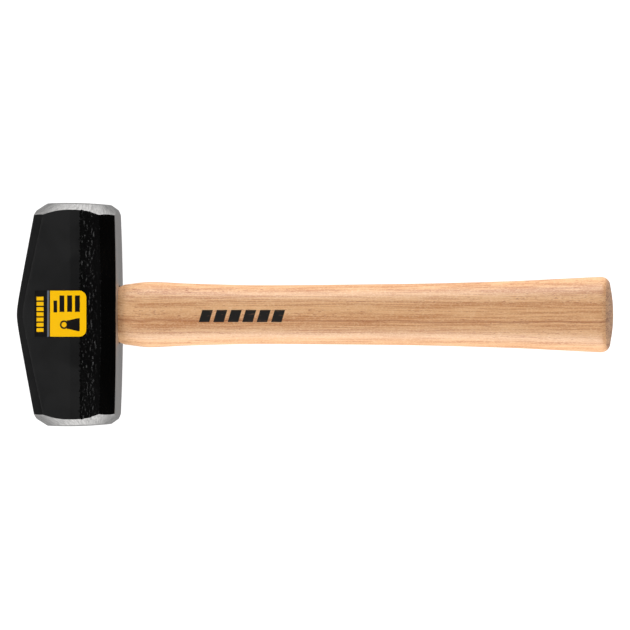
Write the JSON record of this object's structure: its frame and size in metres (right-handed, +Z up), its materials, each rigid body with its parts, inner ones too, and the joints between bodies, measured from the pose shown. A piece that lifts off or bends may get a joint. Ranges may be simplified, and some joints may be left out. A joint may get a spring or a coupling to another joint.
{
  "type": "club hammer",
  "caption": "Short-handled club hammer with an octagonal forged head, two chamfered striking faces and a flared wooden handle wedged into an oval eye.",
  "frame": {"origin": "on the surface the hammer lies on, under the point where the handle's axis crosses the strike axis, on the level part of the lower cheek", "axes": "+X along the handle from the head to the butt, +Y along the strike axis towards the upper striking face, +Z up, out of the labelled cheek"},
  "size_m": [0.2657, 0.1, 0.0371],
  "materials": {
    "painted_steel": "black paint, satin on the smooth half of each cheek and glossy over rough forge scale on the other; bare ground steel on the striking faces, their chamfers and the underside",
    "hickory": "straight-grained pale hickory under a thin satin lacquer, darker at the sawn ends",
    "wedge_wood": "plain sawn hardwood",
    "wedge_steel": "dull rolled steel with hammer marks on its driven end",
    "label_film": null
  },
  "bodies": {
    "root": {"head": "painted_steel", "handle": "hickory", "wood_wedge": "wedge_wood", "steel_wedge_1": "wedge_steel", "steel_wedge_2": "wedge_steel", "head_label": "label_film"}
  },
  "joints": []
}
